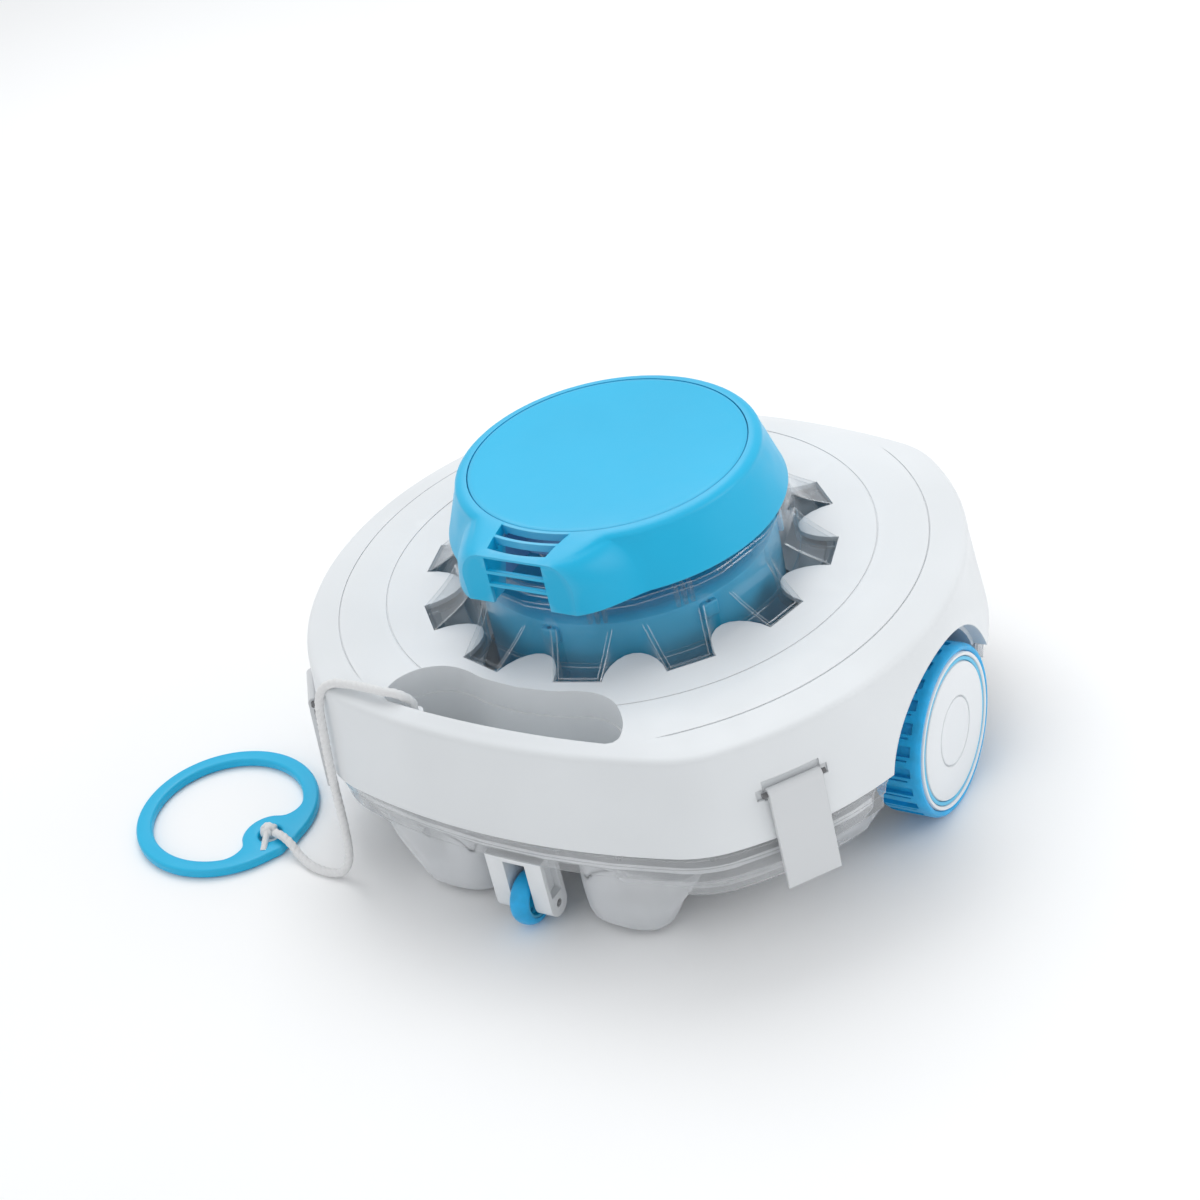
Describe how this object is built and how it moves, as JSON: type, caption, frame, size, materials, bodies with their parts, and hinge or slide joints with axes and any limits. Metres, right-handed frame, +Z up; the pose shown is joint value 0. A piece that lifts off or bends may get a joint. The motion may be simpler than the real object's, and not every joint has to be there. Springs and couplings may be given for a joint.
{
  "type": "pool cleaner",
  "caption": "Battery pool-floor cleaner: white domed shell on a clear debris tray, clear star crown with turning jet cap, rubber side wheels, corner latches, pick-up cord.",
  "frame": {"origin": "on the floor under the middle of the body, on the axis of the cap", "axes": "+Z up, -Y to the front with the handle recess, +X to the right as seen from the front"},
  "size_m": [0.4849, 0.3722, 0.207],
  "materials": {
    "white_shell": "satin white moulded plastic",
    "blue_plastic": "satin light blue moulded plastic",
    "clear_plastic": "clear transparent plastic with a faint blue tint",
    "frosted_plastic": "frosted translucent plastic",
    "blue_rubber": "soft blue rubber",
    "dark_plastic": "dark moulded plastic",
    "steel": "stainless steel",
    "grey_rubber": "dark sealing rubber",
    "filter_cloth": "fine filter mesh",
    "circuit_board": "green laminate",
    "cord_fibre": "twisted white cord"
  },
  "bodies": {
    "lower": {"lower_tray": "clear_plastic", "scoop_left": "frosted_plastic", "scoop_right": "frosted_plastic", "tray_seal": "grey_rubber", "filter_frame": "white_shell", "filter_mesh": "filter_cloth", "front_fork": "white_shell", "rear_fork": "white_shell", "front_axle": "steel", "rear_axle": "steel", "flap_pin_left": "steel", "flap_pin_right": "steel"},
    "upper": {"upper_shell": "white_shell", "chassis_plate": "white_shell", "cord_anchor": "white_shell", "pump_housing": "blue_plastic", "housing_base": "blue_plastic", "pickup_ring": "blue_plastic", "crown": "clear_plastic", "battery_left": "dark_plastic", "battery_right": "dark_plastic", "bush_left": "dark_plastic", "bush_right": "dark_plastic", "latch_pin_left": "dark_plastic", "latch_pin_right": "dark_plastic", "charge_socket": "dark_plastic", "pump_motor": "steel", "axle_left": "steel", "axle_right": "steel", "crown_screw_0": "steel", "crown_screw_90": "steel", "crown_screw_180": "steel", "crown_screw_270": "steel", "shaft_seal": "grey_rubber", "button_seal": "grey_rubber", "control_board": "circuit_board", "cord": "cord_fibre", "cord_knot": "cord_fibre"},
    "wheel_left_body": {"wheel_left": "white_shell", "tyre_left": "blue_rubber", "hub_cap_left": "white_shell"},
    "wheel_right_body": {"wheel_right": "white_shell", "tyre_right": "blue_rubber", "hub_cap_right": "white_shell"},
    "front_wheel_body": {"front_wheel": "blue_plastic", "front_tyre": "blue_rubber"},
    "rear_wheel_body": {"rear_wheel": "blue_plastic", "rear_tyre": "blue_rubber"},
    "latch_left_body": {"latch_left": "white_shell"},
    "latch_right_body": {"latch_right": "white_shell"},
    "impeller_body": {"impeller": "white_shell", "motor_shaft": "steel"},
    "flap_left_body": {"flap_left": "grey_rubber"},
    "flap_right_body": {"flap_right": "grey_rubber"},
    "button_body": {"power_button": "blue_plastic"},
    "charge_cap_body": {"charge_cap": "grey_rubber"},
    "cap_body": {"nozzle_cap": "blue_plastic", "cap_disc": "blue_plastic"}
  },
  "joints": [
    {"name": "shell_lift", "type": "slide", "parent": "lower", "child": "upper", "axis": [0, 0, 1], "range_m": [0, 0.1]},
    {"name": "wheel_left_spin", "type": "hinge", "parent": "upper", "child": "wheel_left_body", "pos_m": [-0.1745, 0, 0.0488], "axis": [1, 0, 0], "continuous": true},
    {"name": "wheel_right_spin", "type": "hinge", "parent": "upper", "child": "wheel_right_body", "pos_m": [0.1745, 0, 0.0488], "axis": [1, 0, 0], "continuous": true},
    {"name": "front_wheel_spin", "type": "hinge", "parent": "lower", "child": "front_wheel_body", "pos_m": [0, -0.16, 0.016], "axis": [1, 0, 0], "continuous": true},
    {"name": "rear_wheel_spin", "type": "hinge", "parent": "lower", "child": "rear_wheel_body", "pos_m": [0, 0.16, 0.016], "axis": [1, 0, 0], "continuous": true},
    {"name": "latch_right_swing", "type": "hinge", "parent": "upper", "child": "latch_right_body", "pos_m": [0.15431, -0.1184, 0.099], "axis": [-0.6088, -0.7934, 0], "range_deg": [0, 110]},
    {"name": "latch_left_swing", "type": "hinge", "parent": "upper", "child": "latch_left_body", "pos_m": [-0.15431, -0.1184, 0.099], "axis": [-0.6088, 0.7934, 0], "range_deg": [0, 110]},
    {"name": "impeller_spin", "type": "hinge", "parent": "upper", "child": "impeller_body", "pos_m": [0, 0, 0.16], "axis": [0, 0, 1], "continuous": true},
    {"name": "cap_turn", "type": "hinge", "parent": "upper", "child": "cap_body", "pos_m": [0, 0, 0.188], "axis": [0, 0, 1], "range_deg": [-45, 45]},
    {"name": "flap_right_swing", "type": "hinge", "parent": "lower", "child": "flap_right_body", "pos_m": [0.045, -0.115, 0.0495], "axis": [1, 0, 0], "range_deg": [0, 70]},
    {"name": "flap_left_swing", "type": "hinge", "parent": "lower", "child": "flap_left_body", "pos_m": [-0.045, -0.115, 0.0495], "axis": [1, 0, 0], "range_deg": [0, 70]},
    {"name": "power_button_press", "type": "slide", "parent": "upper", "child": "button_body", "axis": [0, -1, 0], "range_m": [0, 0.003], "stiffness_N_per_m": 300},
    {"name": "charge_cap_swing", "type": "hinge", "parent": "upper", "child": "charge_cap_body", "pos_m": [-0.025, 0.1744, 0.1105], "axis": [1, 0, 0], "range_deg": [0, 120]}
  ]
}
